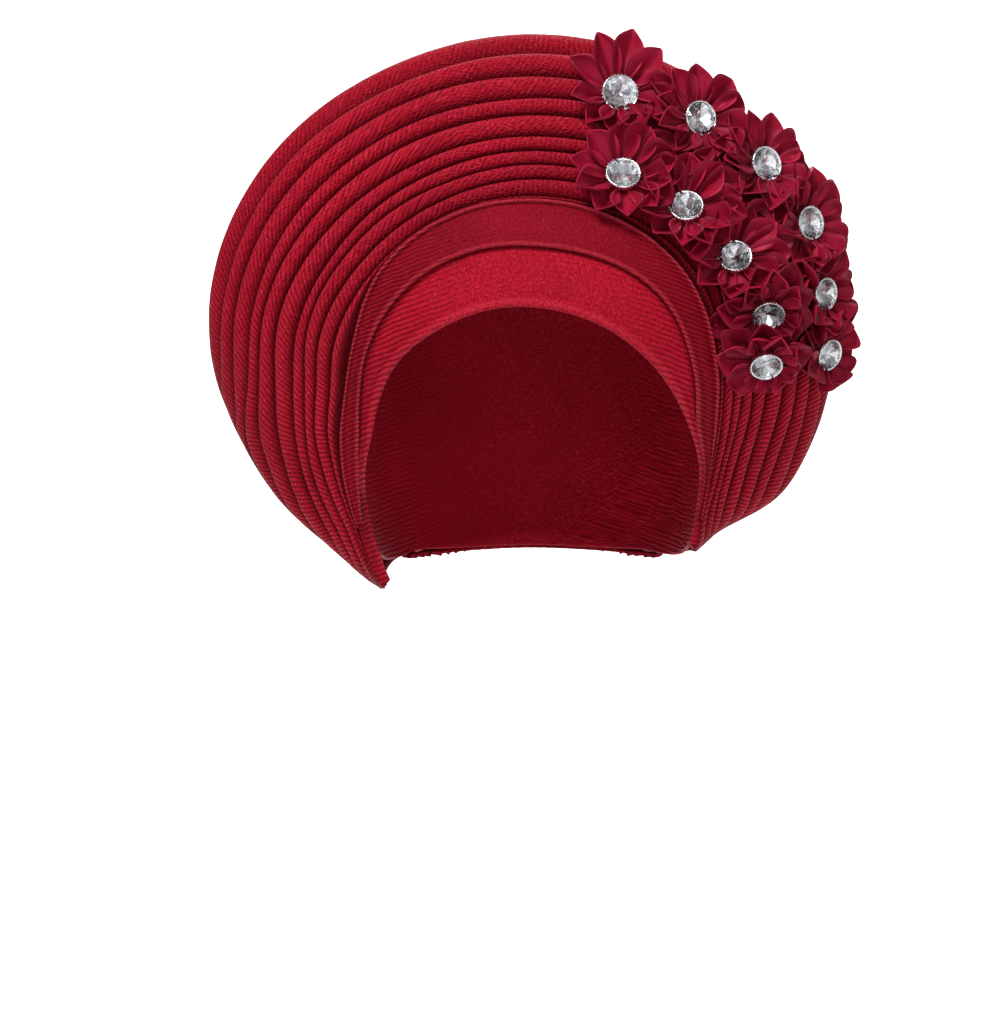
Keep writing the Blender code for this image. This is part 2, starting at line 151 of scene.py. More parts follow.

# The upper band's rolled lower edge and its turned top edge. Each row: distances outwards and
# backwards from that edge of the band, and how much of the painted highlight on the edge shows.
BAND_LOWER = (
    (0.0016, 0.0022, 0.0),
    (0.0004, 0.0016, 0.1),
    (-0.0002, 0.0006, 0.4),
    (-0.0001, -0.0007, 0.9),
    (0.0005, -0.0015, 1.0),
    (0.0012, -0.0015, 0.8),
    (0.0018, -0.0008, 0.3),
    (0.0022, 0.0001, 0.0),
    (0.0028, 0.0000, 0.0),
)
BAND_TOP = (
    (-0.0018, 0.0002, 0.0),
    (-0.0013, -0.0002, 0.4),
    (-0.0009, -0.0010, 1.0),
    (-0.0004, -0.0013, 1.0),
    (0.0001, -0.0010, 1.0),
    (0.0003, -0.0002, 0.5),
    (0.0001, 0.0006, 0.0),
    (-0.0006, 0.0012, 0.0),
)
# The band's run, its columns and rows, its cloth's thickness, the least width that it narrows
# to at its ends, and the width from which its edges have their full size.
BAND_ANGLES, BAND_POINTS, BAND_ROWS = (-30.0, 208.0), 190, 15
BAND_CLOTH, BAND_LEAST, BAND_FULL = 0.0008, 0.002, 0.009

# One row for each flower: how far it is turned aside, tipped up and spun, in degrees, and its
# number of petals. aside and raised: how far its stone is turned and tipped beyond the petals.
# size: the stone's share of the full size. up, right: how much longer those petals are.
# down: how much shorter the lower petals are.
FLOWER_COLUMNS = ("turn", "tip", "spin", "petals", "aside", "raised",
                  "size", "up", "right", "down")
FLOWERS = (
    (10, 22, 4, 10, 4, -12, 1.0, 0.22, 0.0, 0.1),
    (26, 22, 14, 10, 6, -14, 0.97, 0.06, -0.06, 0.0),
    (34, 20, 0, 10, 0, -10, 0.94, 0.02, -0.20, 0.0),
    (42, 12, 10, 10, -2, -10, 0.91, 0.08, -0.34, 0.0),
    (52, 6, 22, 9, -5, -12, 0.89, 0.02, -0.42, 0.1),
    (50, -4, 6, 9, -5, -12, 0.87, -0.04, -0.52, 0.3),
    (8, 24, 20, 10, -6, 6, 0.94, 0.06, 0.0, 0.1),
    (12, 22, 8, 10, -12, 8, 0.93, 0.04, 0.0, 0.1),
    (18, 14, 0, 10, -14, 12, 0.94, 0.04, 0.0, 0.1),
    (16, -22, 12, 9, -8, -14, 0.88, 0.0, -0.42, 0.2),
    (10, -32, 2, 9, 0, -10, 0.88, -0.18, -0.36, 0.6),
)
PETAL_ROWS, PETAL_COLUMNS = 17, 13
# Where along a petal it is widest, and the least and greatest lengths and widths of a petal, as
# shares of the flower's radius and of its diameter.
PETAL_WIDEST = 0.56
PETAL_LENGTHS, PETAL_WIDTHS = (0.80, 0.92), (0.33, 0.40)

# Heights of the rim settings and of a stone's crown, girdle and pavilion, and how far a stone
# with its setting stands off the flower.
SETTING_HEIGHT = 0.0042
STONE_CROWN, STONE_GIRDLE, STONE_PAVILION = 0.0019, 0.0005, 0.0028
STONE_LIFT = 0.0012
RIM_POINTS, RIM_GRAINS = 64, 32

# The photograph's frame in pixels, the pixel at the opening's centre, and the scale.
PHOTO_WIDTH, PHOTO_HEIGHT = 1007, 1020
OPENING_COLUMN, OPENING_ROW = 541, 430
METRES_PER_PIXEL = 0.00042
CAMERA_AWAY = 3.0

# One row for each lamp: its place and its target from the opening's centre, its size and power.
LIGHTS = (
    ("key_light", (-0.5, -1.4, 1.8), (0, 0, 0.03), 0.8, 52.0),
    ("front_light", (0.2, -2.4, 0.4), (0, 0, 0.03), 0.9, 10.0),
    ("side_light", (1.9, -0.4, 0.7), (0, 0, 0.03), 0.9, 4.0),
    ("back_light", (0.2, 1.2, 1.5), (0, 0, 0.03), 1.2, 16.0),
    ("wall_light", (0.0, 2.4, 2.4), (0, 4.4, 0.1), 3.0, 220.0),
)
# The colour and strength of the light from all round.
AIR_COLOUR, AIR_STRENGTH = (0.95, 0.97, 1.0), 0.18
# The floor's depth below the opening, where it bends up into the wall, and the wall's height.
FLOOR_DROP, BEND_START, BEND_RADIUS, WALL_HEIGHT = 0.42, 3.4, 1.2, 5.5


class GeleSizes(PropertyGroup):
    """Sizes of the head tie's pieces."""
    cloth: FloatProperty(name="Cloth", description="Thickness of the cloth", default=0.0012,
                         min=0.0003, unit="LENGTH")
    cap_half_width: FloatProperty(name="Cap half width", description="Half the cap's width",
                                  default=0.0725, unit="LENGTH")
    cap_half_depth: FloatProperty(name="Cap half depth", description="Half the cap's depth",
                                  default=0.095, unit="LENGTH")
    cap_crown: FloatProperty(name="Cap crown", description="Cap height above its widest level",
                             default=0.102, unit="LENGTH")
    cap_lower: FloatProperty(name="Cap lower", description="Half height of the cap's lower curve",
                             default=0.100, unit="LENGTH")
    cap_wall: FloatProperty(name="Cap wall", description="Wall above the origin at the crown",
                            default=0.0016, unit="LENGTH")
    nape_drop: FloatProperty(name="Nape drop", description="Nape hem below the widest level",
                             default=0.047, unit="LENGTH")
    opening_shift: FloatProperty(name="Opening shift", default=0.0035, unit="LENGTH",
                                 description="Opening's centre from the middle")
    arch_radius: FloatProperty(name="Arch radius", description="Radius that the sections share",
                               default=0.070, unit="LENGTH")
    band_standoff: FloatProperty(name="Band standoff", description="Upper band ahead of the cap",
                                 default=0.0022, unit="LENGTH")
    fan_width: FloatProperty(name="Fan width", description="Width of the folds at the top",
                             default=0.073, unit="LENGTH")
    rim_depth: FloatProperty(name="Rim depth", description="Outline behind the upper band",
                             default=0.052, unit="LENGTH")
    back_depth: FloatProperty(name="Back depth", description="Fullness of the back",
                              default=0.055, unit="LENGTH")
    back_height: FloatProperty(name="Back height", description="Fullness of the upper back",
                               default=0.105, unit="LENGTH")
    back_width: FloatProperty(name="Back width", description="Fullness of the sides of the back",
                              default=0.048, unit="LENGTH")
    gather: FloatProperty(name="Gather", description="Depth of the gathers at the nape",
                          default=0.0030, unit="LENGTH")
    flower: FloatProperty(name="Flower", description="Diameter of a ribbon flower",
                          default=0.043, unit="LENGTH")
    ribbon: FloatProperty(name="Ribbon", description="Thickness of the petal ribbon",
                          default=0.0005, unit="LENGTH")
    setting: FloatProperty(name="Setting", description="Diameter of a stone's rim setting",
                           default=0.0160, unit="LENGTH")
    stone: FloatProperty(name="Stone", description="Diameter of a stone", default=0.0140,
                         unit="LENGTH")
    rib_pitch: FloatProperty(name="Rib pitch", description="Distance between the cloth's ribs",
                             default=0.0020, unit="LENGTH")
    band_pitch: FloatProperty(name="Band rib pitch", description="The same on the two bands",
                              default=0.0018, unit="LENGTH")


class GeleColours(PropertyGroup):
    """Colours of the head tie's finishes."""
    thread: FloatVectorProperty(name="Thread", description="Lit threads of the woven cloth",
                                default=(0.46, 0.008, 0.025), size=3, subtype="COLOR")
    gap: FloatVectorProperty(name="Gaps", description="Shade between the threads",
                             default=(0.11, 0.001, 0.005), size=3, subtype="COLOR")
    # A painted glint: the colour of sparkling threads, also mixed into the painted edge highlight.
    glint: FloatVectorProperty(name="Glint", description="Sparkling threads",
                               default=(0.74, 0.07, 0.11), size=3, subtype="COLOR")
    satin: FloatVectorProperty(name="Satin", description="Petal ribbon",
                               default=(0.34, 0.006, 0.030), size=3, subtype="COLOR")
    # A painted highlight along each petal's edge.
    satin_edge_highlight: FloatVectorProperty(name="Petal edge", description="Sealed edge of a petal",
                                    default=(0.48, 0.02, 0.06), size=3, subtype="COLOR")
    silver: FloatVectorProperty(name="Silver", description="Rim settings and foil",
                                default=(0.86, 0.87, 0.89), size=3, subtype="COLOR")
    floor: FloatVectorProperty(name="Floor", description="Studio floor and wall",
                               default=(0.82, 0.82, 0.82), size=3, subtype="COLOR")


def sizes():
    """The sizes in use."""
    return bpy.context.scene.gele_sizes


def colours():
    """The colours in use."""
    return bpy.context.scene.gele_colours


def section_rows(angles):
    """The sections' columns at any angles, on smooth curves through the table's rows."""
    table = np.array(SECTIONS, float)
    xs = table[:, 0]
    i = np.clip(np.searchsorted(xs, angles) - 1, 0, len(xs) - 2)
    slopes = np.gradient(table, xs, axis=0)
    width = (xs[i + 1] - xs[i])[:, None]
    t = (np.asarray(angles)[:, None] - xs[i][:, None]) / width
    rows = ((2 * t**3 - 3 * t**2 + 1) * table[i] + (t**3 - 2 * t**2 + t) * width * slopes[i]
            + (-2 * t**3 + 3 * t**2) * table[i + 1] + (t**3 - t**2) * width * slopes[i + 1])
    return {name: rows[:, k] for k, name in enumerate(SECTION_COLUMNS)}


def section_angles(count):
    """Angles from the first section to the last, and each one's share of the way."""
    first, last = SECTIONS[0][0], SECTIONS[-1][0]
    angles = np.linspace(first, last, count)
    return angles, (angles - first) / (last - first)


# How full the cap's curve is (2 is an ellipse), and half the nape hem's run round the back.
CAP_FULLNESS = 2.3
NAPE_HALF_ANGLE = 46.0


def cap_centre():
    """The middle of the cap's widest level."""
    s = sizes()
    return np.array((0.0, 0.0, -(s.cap_crown - s.cap_wall)))


def opening_centre():
    """The point that the sections' angles are counted round."""
    return cap_centre() + np.array((sizes().opening_shift, 0.0, 0.0))


def half_sizes(up):
    """The cap's half sizes for points above or below its widest level."""
    s = sizes()
    tall = np.where(np.asarray(up) >= 0, s.cap_crown, s.cap_lower)
    return np.stack([np.full_like(tall, s.cap_half_width), np.full_like(tall, s.cap_half_depth),
                     tall], -1)


def cap_level(shares):
    """1 on the cap's outer face, less inside it."""
    return (np.abs(shares) ** CAP_FULLNESS).sum(-1) ** (1 / CAP_FULLNESS)


def cap_points(ways, out=0.0):
    """Points of the cap's outer face in some directions, moved out by a distance."""
    ways = np.asarray(ways, float)
    points = ways * half_sizes(ways[..., 2]) / cap_level(ways)[..., None]
    length = np.linalg.norm(points, axis=-1)
    return cap_centre() + points * (1 + out / length)[..., None]


def clear_of_cap(points, room):
    """Move points out until they lie clear of the cap's outer face."""
    arms = points - cap_centre()
    level = cap_level(arms / half_sizes(arms[..., 2]))[..., None]
    length = np.linalg.norm(arms, axis=-1, keepdims=True)
    least = 1 + room / (length / level)
    return np.where(level >= least, points, cap_centre() + arms * (least / level))


def cap_edges(angles, radii):
    """Directions on the front of the cap that show at some angles and radii."""
    s = sizes()
    a = np.radians(angles)
    x = (radii * np.cos(a) + s.opening_shift) / s.cap_half_width
    z = radii * np.sin(a) / np.where(np.sin(a) >= 0, s.cap_crown, s.cap_lower)
    size = cap_level(np.stack([x, z], -1))
    fit = np.where(size > 0.985, 0.985 / size, 1.0)
    x, z = x * fit, z * fit
    flat = cap_level(np.stack([x, z], -1))
    y = -(1 - flat**CAP_FULLNESS) ** (1 / CAP_FULLNESS)
    return np.stack([x, y, z], -1)


def nape_directions(shares):
    """Directions of the nape hem's points; a share runs from 0 at +X to 1 at -X."""
    low = -sizes().nape_drop / sizes().cap_lower
    a = np.radians(90 + NAPE_HALF_ANGLE * (2 * shares - 1))
    flat = math.sqrt(1 - low * low)
    return np.stack([np.cos(a) * flat, np.sin(a) * flat, np.full_like(a, low)], -1)


def polar_points(angles, radii, depths):
    """Points at some angles, radii and depths from the opening's centre."""
    a = np.radians(angles)
    return opening_centre() + np.stack([radii * np.cos(a), depths, radii * np.sin(a)], -1)


def ways_around(angles):
    """Directions round the opening at some angles, square to the way outwards."""
    a = np.radians(angles)
    return np.stack([-np.sin(a), np.zeros_like(a), np.cos(a)], -1)


def band_edges(rows):
    """The upper band's low and top radii and depths."""
    s = sizes()
    low, top = rows["low"] * s.arch_radius, rows["top"] * s.arch_radius
    front = -rows["ahead"] * s.cap_half_depth - s.band_standoff
    return low, top, front, front + 0.45 * (top - low)


def cubic(a, b, c, d, t):
    """Points part of the way along curves with four control points."""
    s = 1 - t
    return s**3 * a + 3 * s * s * t * b + 3 * s * t * t * c + t**3 * d


def smoothed(values, width):
    """Values with their sudden steps eased over a few neighbours on each side."""
    reach = np.arange(-3 * width, 3 * width + 1)
    weights = np.exp(-0.5 * (reach / width) ** 2)
    longer = np.pad(values, 3 * width, mode="reflect", reflect_type="odd")
    return np.convolve(longer, weights / weights.sum(), "valid")


def slerp(a, b, t):
    """Directions part of the way from some directions to others."""
    turn = np.arccos(np.clip((a * b).sum(-1, keepdims=True), -1, 1))
    turn = np.maximum(turn, 1e-6)
    return (a * np.sin((1 - t) * turn) + b * np.sin(t * turn)) / np.sin(turn)


def unit(vectors):
    """The vectors at length 1."""
    return vectors / np.maximum(np.linalg.norm(vectors, axis=-1, keepdims=True), 1e-12)


def waves(places, seed, wavelength, count=5):
    """A smooth random run of values between about -1 and 1 along a line of places."""
    rng = random.Random(seed)
    total = np.zeros_like(places)
    for _ in range(count):
        length = wavelength * rng.uniform(0.6, 1.8)
        total += np.sin(places * 2 * math.pi / length + rng.uniform(0, 6.28))
    return total / count


def run_length(points):
    """Distance of each point from the first, along the first axis of a grid of points."""
    steps = np.linalg.norm(np.diff(points, axis=0), axis=-1)
    return np.concatenate([np.zeros((1,) + steps.shape[1:]), np.cumsum(steps, axis=0)])


def add_piece(mesh, *finishes):
    """A piece in the scene, named as its mesh is, with its finishes."""
    for finish in finishes:
        mesh.materials.append(finish)
    piece = bpy.data.objects.new(mesh.name, mesh)
    bpy.context.scene.collection.objects.link(piece)
    return piece


def cloth_sheet(name, points, weave, marks, thickness, finish):
    """A cloth from a grid of points. weave: its UV map in metres, as lengths along the cloth at
    the two sides of each strip, and lengths across it. marks: values kept for the finish."""
    columns, rows = points.shape[:2]
    index = np.arange(columns * rows).reshape(columns, rows)
    faces = np.stack([index[:-1, :-1], index[:-1, 1:], index[1:, 1:], index[1:, :-1]], -1)
    mesh = bpy.data.meshes.new(name)
    mesh.from_pydata(points.reshape(-1, 3).tolist(), [], faces.reshape(-1, 4).tolist())
    inner, outer, across = weave
    u = np.stack([inner[:-1], outer[:-1], outer[1:], inner[1:]], -1).reshape(-1)
    v = np.stack([across[:-1, :-1], across[:-1, 1:], across[1:, 1:], across[1:, :-1]], -1)
    uv = mesh.uv_layers.new(name="weave")
    uv.data.foreach_set("uv", np.stack([u, v.reshape(-1)], -1).astype(np.float32).reshape(-1))
    for mark, values in marks.items():
        kept = mesh.attributes.new(mark, "FLOAT", "POINT")
        spread = np.broadcast_to(values, (columns, rows))
        kept.data.foreach_set("value", spread.astype(np.float32).reshape(-1))
    mesh.shade_smooth()
    piece = add_piece(mesh, finish)
    shell = piece.modifiers.new("Cloth", "SOLIDIFY")
    shell.thickness = thickness
    shell.offset = -1
    return piece


class Nodes:
    """Short ways to build a material's nodes."""

    def __init__(self, name):
        self.material = bpy.data.materials.new(name)
        self.material.use_nodes = True
        self.tree = self.material.node_tree
        self.shader = self.tree.nodes["Principled BSDF"]

    def add(self, kind, **settings):
        """A new node with its settings."""
        node = self.tree.nodes.new(kind)
        for key, value in settings.items():
            setattr(node, key, value)
        return node

    def link(self, source, target):
        """Join two sockets."""
        self.tree.links.new(source, target)

    def maths(self, operation, *values):
        """The result of an operation on sockets and numbers."""
        node = self.add("ShaderNodeMath", operation=operation)
        for socket, value in zip(node.inputs, values):
            if isinstance(value, (int, float)):
                socket.default_value = value
            else:
                self.link(value, socket)
        return node.outputs[0]

    def times(self, first, second):
        """A product."""
        return self.maths("MULTIPLY", first, second)

    def line(self, value, slope, start):
        """A value times a slope, plus a start."""
        return self.maths("ADD", self.times(value, slope), start)

    def solid(self):
        """Places in the piece's own space."""
        return self.add("ShaderNodeTexCoord").outputs["Object"]

    def blend(self, factor, first, second):
        """A mix of two colours."""
        node = self.add("ShaderNodeMix", data_type="RGBA")
        for socket, value in ((node.inputs[0], factor), (node.inputs[6], first),
                              (node.inputs[7], second)):
            if isinstance(value, (int, float)):
                socket.default_value = value
            elif isinstance(value, bpy.types.NodeSocket):
                self.link(value, socket)
            else:
                socket.default_value = (*value, 1)
        return node.outputs[2]

    def steps(self, factor, low, high, start=0.0, end=1.0):
        """A value stretched from low and high to start and end, and held there."""
        node = self.add("ShaderNodeMapRange", clamp=True)
        self.link(factor, node.inputs[0])
        for socket, value in zip(node.inputs[1:5], (low, high, start, end)):
            socket.default_value = value
        return node.outputs[0]

    def bump(self, height, strength, distance, under=None):
        """A relief from a height, on top of another one if given."""
        node = self.add("ShaderNodeBump")
        node.inputs["Strength"].default_value = strength
        node.inputs["Distance"].default_value = distance
        self.link(height, node.inputs["Height"])
        if under:
            self.link(under, node.inputs["Normal"])
        return node.outputs[0]

    def noise(self, vector, scale, detail, flat=False):
        """A soft random pattern."""
        node = self.add("ShaderNodeTexNoise", noise_dimensions="2D" if flat else "3D")
        node.inputs["Scale"].default_value = scale
        node.inputs["Detail"].default_value = detail
        self.link(vector, node.inputs["Vector"])
        return node.outputs[0]

    def mark(self, name):
        """A value kept on the mesh's points."""
        return self.add("ShaderNodeAttribute", attribute_name=name).outputs["Fac"]

    def set(self, **values):
        """Set or link the shader's sockets."""
        for key, value in values.items():
            socket = self.shader.inputs[key.replace("_", " ")]
            if isinstance(value, (int, float)):
                socket.default_value = value
            elif isinstance(value, bpy.types.NodeSocket):
                self.link(value, socket)
            else:
                socket.default_value = (*value, 1)


def woven_cloth(name, shade, pitch, coarse=1.0):
    """Crimson cloth: ribs and fine cross threads, mottled, with a few sparkling threads painted
    brighter as glints, a painted highlight on folded edges and painted shade in the creases.
    shade: how much lighter or darker the whole piece is painted for the light that falls on it.
    """
    n = Nodes(name)
    c = colours()
    place = n.add("ShaderNodeUVMap", uv_map="weave").outputs[0]
    split = n.add("ShaderNodeSeparateXYZ")
    n.link(place, split.inputs[0])
    along, across = split.outputs[0], split.outputs[1]
    solid = n.solid()

    # Ribs that wander a little, fine slanting threads, and a grain.
    drift = n.maths("SUBTRACT", n.noise(solid, 90, 2), 0.5)
    along = n.maths("ADD", along, n.times(drift, pitch * 1.1))
    turn = 2 * math.pi / pitch
    rib = n.line(n.maths("SINE", n.times(along, turn)), 0.5, 0.5)
    slant = n.maths("SUBTRACT", n.times(along, 0.5), across)
    thread = n.line(n.maths("SINE", n.times(slant, turn * 1.9)), 0.5, 0.5)
    grain = n.steps(n.noise(place, 850, 1, True), 0.36, 0.64)
    fine = n.maths("ADD", n.times(thread, 0.35), n.times(grain, 0.65))
    soft = n.line(fine, coarse, 0.72 * (1 - coarse))
    crisp = n.maths("ADD", n.times(rib, 0.68), n.times(soft, 0.32))
    choice = n.add("ShaderNodeMix", data_type="FLOAT")
    n.link(n.mark("rib_show"), choice.inputs[0])
    n.link(soft, choice.inputs[2])
    n.link(crisp, choice.inputs[3])
    weave = choice.outputs[0]

    # Dark gaps and lit threads, with a painted highlight on the folded edges.
    # The shade factor paints the whole piece lighter or darker for the light that falls on it.
    lit = tuple(v * shade for v in c.thread)
    dark = tuple(v * shade for v in c.gap)
    colour = n.blend(n.steps(weave, 0.08, 0.78, 0.10, 1.0), dark, lit)
    mottle = n.steps(n.noise(solid, 30, 3), 0.3, 0.7, 0.0, 0.30)
    colour = n.blend(mottle, colour, dark)
    fold = n.mark("painted_edge_highlight")
    wear_and_highlight = tuple(0.5 * (a + b) for a, b in zip(lit, c.glint))
    colour = n.blend(n.times(n.times(fold, weave), 0.45), colour, wear_and_highlight)

    # Single threads that sparkle: smoother, and painted brighter as glints. Then the painted shade
    # between the folds.
    cells = n.add("ShaderNodeTexVoronoi", voronoi_dimensions="2D")
    cells.inputs["Scale"].default_value = 1500
    n.link(place, cells.inputs["Vector"])
    pick = n.add("ShaderNodeSeparateColor")
    n.link(cells.outputs["Color"], pick.inputs[0])
    spark = n.times(n.steps(pick.outputs[0], 0.80, 0.98), n.steps(weave, 0.3, 0.8))
    colour = n.blend(n.times(spark, 0.30 * shade * coarse), colour, c.glint)
    deep = tuple(v * 0.45 for v in c.gap)
    colour = n.blend(n.times(n.mark("crease"), 0.92), colour, deep)
    rough = n.maths("ADD", n.steps(spark, 0.0, 1.0, 0.55, 0.34), n.times(grain, 0.08))
    n.set(Base_Color=colour, Roughness=rough, Normal=n.bump(weave, 0.75, 0.0007),
          Specular_IOR_Level=0.10, Specular_Tint=(1.0, 0.30, 0.36))
    return n.material


def petal_satin():
    """Smooth crimson satin with fine ribbon lines, a painted highlight along its edges, and
    painted shade in its creases and on the under layer.
    """
    n = Nodes("petal_satin")
    c = colours()
    lines = n.add("ShaderNodeMapping")
    lines.inputs["Scale"].default_value = (3200, 260, 1)
    n.link(n.add("ShaderNodeUVMap", uv_map="weave").outputs[0], lines.inputs["Vector"])
    threads = n.noise(lines.outputs[0], 1, 2, True)
    cloud = n.noise(n.solid(), 130, 2)
    dark = tuple(v * 0.5 for v in c.satin)
    deep = tuple(v * 0.10 for v in c.satin)
    colour = n.blend(n.steps(cloud, 0.35, 0.65, 0.0, 0.35), c.satin, dark)
    colour = n.blend(n.times(threads, 0.18), colour, dark)
    # A painted highlight along the edges, then painted shade in the creases and on the under
    # layer.
    colour = n.blend(n.times(n.mark("painted_edge_highlight"), 0.32), colour, c.satin_edge_highlight)
    colour = n.blend(n.times(n.mark("crease"), 0.8), colour, deep)
    rough = n.line(threads, 0.12, 0.40)
    relief = n.bump(threads, 0.20, 0.00008)
    n.set(Base_Color=colour, Roughness=rough, Normal=n.bump(cloud, 0.35, 0.0009, relief),
          Specular_IOR_Level=0.26, Specular_Tint=(1.0, 0.35, 0.45))
    return n.material


def silver_metal(name, roughness, grain_scale):
    """Bright plated metal with fine wear."""
    n = Nodes(name)
    silver = colours().silver
    grain = n.noise(n.solid(), grain_scale, 3)
    dull = tuple(v * 0.72 for v in silver)
    n.set(Base_Color=n.blend(n.steps(grain, 0.35, 0.7, 0.0, 0.6), silver, dull),
          Roughness=n.steps(grain, 0.3, 0.8, roughness, roughness + 0.16),
          Normal=n.bump(grain, 0.12, 0.0001), Metallic=1.0)
    return n.material


def clear_glass():
    """Clear cut glass with faint swirls in its polish."""
    n = Nodes("clear_stone")
    grain = n.noise(n.solid(), 900, 2)
    n.set(Base_Color=(0.97, 0.98, 1.0), Roughness=n.steps(grain, 0.3, 0.8, 0.01, 0.06),
          Transmission_Weight=1.0, IOR=1.55)
    return n.material


def fan_grid(count, back_rows):
    """The crown's angles and grid of points, the strip that each row belongs to (0 for the inner
    lip, past the last strip for the back), and each point's painted edge highlight and painted
    shade."""
    s = sizes()
    angles, shares = section_angles(count)
    rows = section_rows(angles)
    _, top, _, top_y = band_edges(rows)
    front = np.maximum(rows["front"], 0.02) * s.fan_width
    start_y = top_y + s.cap_wall + START_ROOM
    rim_y = start_y + s.rim_depth * np.minimum(1.0, 0.25 + rows["front"])
    a = np.radians(angles)
    outward = np.stack([np.cos(a), np.zeros_like(a), np.sin(a)], -1)
    around = ways_around(angles)
    start = polar_points(angles, top, start_y)
    rim = polar_points(angles, top + front, rim_y)
    deep = (rim_y - start_y)[:, None] * np.array((0, 1, 0))
    high = np.maximum(0.0, np.sin(a))
    hem = cap_points(nape_directions(shares), s.cap_wall + HEM_ROOM)
    swell = np.stack([s.back_width * np.cos(a) * (0.4 + 0.6 * rows["front"]),
                      s.back_depth * (0.3 + 0.7 * high), s.back_height * high], -1)
    back = np.linalg.norm(hem - rim, axis=-1) * 1.25
    run = (back * 0.3)[:, None] * np.array((0, 1, 0))

    def at(distance):
        """Points of the plain surface under the folds, at distances from its start."""
        ahead = np.clip(distance / front, 0, 1)[:, None]
        behind = np.clip((distance - front) / back, 0, 1.02)[:, None]
        lead = cubic(start, start + outward * (front * 0.45)[:, None] + deep * 0.22,
                     rim - deep * 0.42, rim, ahead)
        trail = cubic(rim, rim + run, hem + swell, hem, behind)
        return np.where((distance <= front)[:, None], lead, trail)

    def place(distance, sink):
        """The same, sunk below that surface and kept clear of the cap."""
        step = s.fan_width * 0.004
        along = at(distance + step) - at(np.maximum(distance - step, 0))
        out = unit(np.cross(along, around))
        return clear_of_cap(at(distance) - out * sink[:, None], s.cap_wall + CROWN_ROOM)

    arc = run_length(at(front * 0.5)[:, None])[:, 0]

    def fold_point(edges, k, across, sink, extra=1.0, wrinkle=0.0):
        """A row of points of one fold, at shares of its width and depth."""
        width = edges[k + 1] - edges[k]
        depth = FOLD_DEPTH * width * (1 + 0.14 * waves(arc, 80 + k, 0.07))
        return place(edges[k] + width * across, depth * sink * extra + wrinkle)

    # Each fold's edge is moved until its outermost point lies where the table puts the crease.
    edges = [np.zeros(count)]
    wanted = []
    for k in reversed(range(FOLDS)):
        sway = waves(arc, 40 + k, 0.11) * 0.00035 * np.clip(rows["front"] * 2, 0.2, 1)
        wanted.append(rows["e%d" % k] * s.fan_width + sway - CREASE_SEEN)
        edges.append(wanted[-1] + 0.0)
    for _ in range(FIT_PASSES):
        for k in range(FOLDS - 1):
            seen = np.max([((fold_point(edges, k, across, sink) - start) * outward).sum(-1)
                           for across, sink, _, _ in FOLD[CREST_ROWS]], axis=0)
            free = np.clip((0.98 - wanted[k] / front) * 8, 0, 1)
            edges[k + 1] = edges[k + 1] + 0.7 * free * (wanted[k] - seen)

    # Towards both ends of the fan the folds' edges are eased.
    loose = np.clip((np.abs(angles - 92) - 86) / 14, 0, 1)
    edges = [edge + loose * (smoothed(edge, 7) - edge) for edge in edges]

    # The inner lip, from the cap to the first fold, all in painted shade, and then the folds.
    root = cap_points(cap_edges(angles, top), np.full(count, s.cap_wall * 0.4 + START_ROOM))
    lip = place(edges[0], 0.0016 * np.clip(rows["front"] * 2, 0.3, 1))
    grid = [root + (lip - root) * t for t in (0.0, 0.33, 0.66, 1.0)]
    fold_of = [0] * 4
    marks = [(np.zeros(count), np.ones(count))] * 4
    # Painted shade on the inner folds at the top, which face downwards, and at the sides a painted
    # shadow that the fold within casts beside each crease.
    above = np.clip(np.sin(a) * 1.6 - 0.5, 0, 1)
    beside = 0.9 * np.clip(1.3 - np.sin(a), 0, 1)
    for k in range(FOLDS):
        deepest = DEEPER if k == DEEP_FOLD else 1.0
        for across, sink, edge, crease in FOLD:
            if k == 0 and across < 0.1:
                continue
            extra = 1 + (deepest - 1) * max(0.0, 1 - across / 0.4)
            wrinkle = 0.00010 * waves(arc + 0.013 * across, 200 + 7 * k, 0.016)
            grid.append(fold_point(edges, k, across, sink, extra, wrinkle))
            fold_of.append(k + 1)
            shade = np.maximum(crease, (0.62 - 0.12 * k) * (1 - across) ** 0.5 * above)
            if 0 < k and across < 0.6:
                past = ((grid[-1] - start) * outward).sum(-1) - wanted[k - 1]
                shade = np.maximum(shade, beside * (1 - np.abs(past) / SHADE_REACH))
            # The narrow strip at the opening is painted dark over its inner part, as the shade in
            # its groove.
            if k == 0:
                shade = np.maximum(shade, 1.0 - max(0.0, across - 0.45) / 0.25)
            marks.append((np.full(count, edge), np.clip(shade, 0, 1)))

    # The back: from the last fold over the outline and down to the nape, in gathers, with painted
    # shade in the gathers' valleys and where the back leaves the last fold.
    begin = edges[-1] + s.fan_width * 0.015
    full = front + back
    pull = np.sin(shares * 2 * math.pi * GATHERS + 0.8 * np.sin(shares * 40)) * 0.7
    pull += waves(shares, 9, 0.05) * 0.5
    for j in range(back_rows):
        t = (j / (back_rows - 1)) ** 1.1
        gather = s.gather * (t ** 1.5) * (1 + 0.3 * pull) - s.gather * pull * t ** 0.9 * 0.9
        settle = 0.0035 * (1 - t) * math.exp(-t * 14)
        grid.append(place(begin + (full - begin) * t, gather + settle))
        fold_of.append(FOLDS + 1)
        valley = np.clip(-0.55 * pull, 0, 1) * t ** 0.7
        marks.append((np.zeros(count), np.maximum(valley, 1 - j / 1.5)))
    edge, crease = (np.stack([mark[n] for mark in marks], 1) for n in (0, 1))
    return angles, np.stack(grid, 1), np.array(fold_of), edge, crease


# How the ribs lean on the folds. Each row: angle in degrees, run along the fold for each run
# across, and how clearly the ribs stand out from the mottled threads.
LEAN = (
    (-40, -0.5, 1.0),
    (10, -0.6, 1.0),
    (60, -0.6, 0.6),
    (95, 0.6, 0.4),
    (125, 1.2, 0.55),
    (155, 1.3, 0.75),
    (180, 0.6, 0.95),
    (225, 0.3, 1.0),
)


